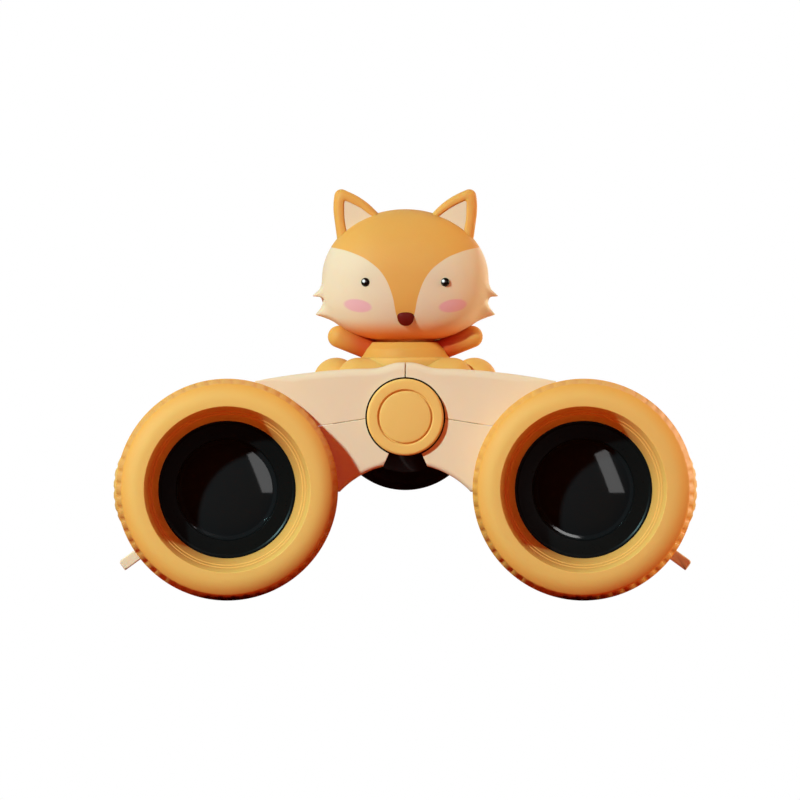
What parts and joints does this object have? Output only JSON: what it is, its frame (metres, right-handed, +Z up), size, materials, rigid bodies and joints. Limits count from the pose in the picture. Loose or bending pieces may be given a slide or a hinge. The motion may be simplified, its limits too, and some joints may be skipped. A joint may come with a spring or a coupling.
{
  "type": "toy binoculars",
  "caption": "Children's folding binoculars with soft objective rings, a centre focus wheel, a dioptre ring and a seated fox figure on the bridge.",
  "frame": {"origin": "centre of the bounding box at the level of the table", "axes": "+Z up, -Y the way the objectives look, +X to the left of the person who looks through"},
  "size_m": [0.1168, 0.0982, 0.0823],
  "materials": {
    "beige_plastic": "fine moulded grain",
    "orange_silicone": "soft matt silicone",
    "orange_plastic": "fine moulded grain",
    "black_plastic": "satin",
    "steel": "plated",
    "lens_glass": "coated",
    "black_gloss": "gloss",
    "brown_gloss": "gloss"
  },
  "bodies": {
    "centre": {"hinge_spindle": "steel", "hinge_cap": "orange_plastic", "cap_disc": "orange_plastic", "hinge_washers": "steel", "thrust_washer": "black_plastic", "centre_collar": "black_plastic", "end_nut": "black_plastic", "fox_screws": "steel", "fox_body": "orange_plastic", "fox_left_arm": "orange_plastic", "fox_right_arm": "orange_plastic", "fox_head": "orange_plastic", "fox_ear_inlays": "beige_plastic", "fox_eyes": "black_gloss", "fox_nose": "brown_gloss", "fox_tail": "orange_plastic"},
    "left_half": {"left_barrel": "beige_plastic", "left_arm_frame": "beige_plastic", "left_arm_cover": "beige_plastic", "left_arm_screws": "steel", "left_objective_ring": "orange_silicone", "left_bezel": "orange_plastic", "left_lens_retainer": "black_plastic", "left_objective_lens": "lens_glass", "left_side_grip": "orange_silicone"},
    "right_half": {"right_barrel": "beige_plastic", "right_arm_frame": "beige_plastic", "right_arm_cover": "beige_plastic", "right_arm_screws": "steel", "right_objective_ring": "orange_silicone", "right_bezel": "orange_plastic", "right_lens_retainer": "black_plastic", "right_objective_lens": "lens_glass", "right_side_grip": "orange_silicone"},
    "focus": {"focus_wheel": "black_plastic", "focus_screw": "steel"},
    "carriage": {"focus_carriage": "black_plastic"},
    "left_eyepiece": {"left_eyepiece_arm": "beige_plastic", "left_eyepiece_tube": "black_plastic", "left_ocular_lens": "lens_glass", "left_eyecup": "orange_silicone"},
    "right_eyepiece": {"right_eyepiece_arm": "beige_plastic", "right_eyepiece_tube": "black_plastic"},
    "right_dioptre": {"right_dioptre_ring": "orange_silicone"},
    "right_ocular": {"right_ocular_cell": "black_plastic", "right_ocular_lens": "lens_glass", "right_eyecup": "orange_silicone"}
  },
  "joints": [
    {"name": "left_fold", "type": "hinge", "parent": "centre", "child": "left_half", "pos_m": [0, 0, 0.0367], "axis": [0, 1, 0], "range_deg": [0, 24]},
    {"name": "right_fold", "type": "hinge", "parent": "centre", "child": "right_half", "pos_m": [0, 0, 0.0367], "axis": [0, -1, 0], "range_deg": [0, 24]},
    {"name": "focus_turn", "type": "hinge", "parent": "centre", "child": "focus", "pos_m": [0, 0, 0.0367], "axis": [0, 1, 0], "range_deg": [-184, 184]},
    {"name": "carriage_slide", "type": "slide", "parent": "centre", "child": "carriage", "axis": [0, 1, 0], "range_m": [-0.002, 0.002]},
    {"name": "left_focus_slide", "type": "slide", "parent": "left_half", "child": "left_eyepiece", "axis": [0, 1, 0], "range_m": [-0.0021, 0.0021]},
    {"name": "right_focus_slide", "type": "slide", "parent": "right_half", "child": "right_eyepiece", "axis": [0, 1, 0], "range_m": [-0.0021, 0.0021]},
    {"name": "dioptre_turn", "type": "hinge", "parent": "right_eyepiece", "child": "right_dioptre", "pos_m": [-0.03565, 0.03, 0.0222], "axis": [0, 1, 0], "range_deg": [-63, 63]},
    {"name": "ocular_slide", "type": "slide", "parent": "right_eyepiece", "child": "right_ocular", "axis": [0, 1, 0], "range_m": [-0.001, 0.001]}
  ],
  "couplings": [
    {"joint": "focus_turn", "follows": "carriage_slide", "rad_per_m": 1570},
    {"joint": "left_focus_slide", "follows": "carriage_slide", "ratio": 1},
    {"joint": "right_focus_slide", "follows": "carriage_slide", "ratio": 1},
    {"joint": "dioptre_turn", "follows": "ocular_slide", "rad_per_m": 1047}
  ]
}
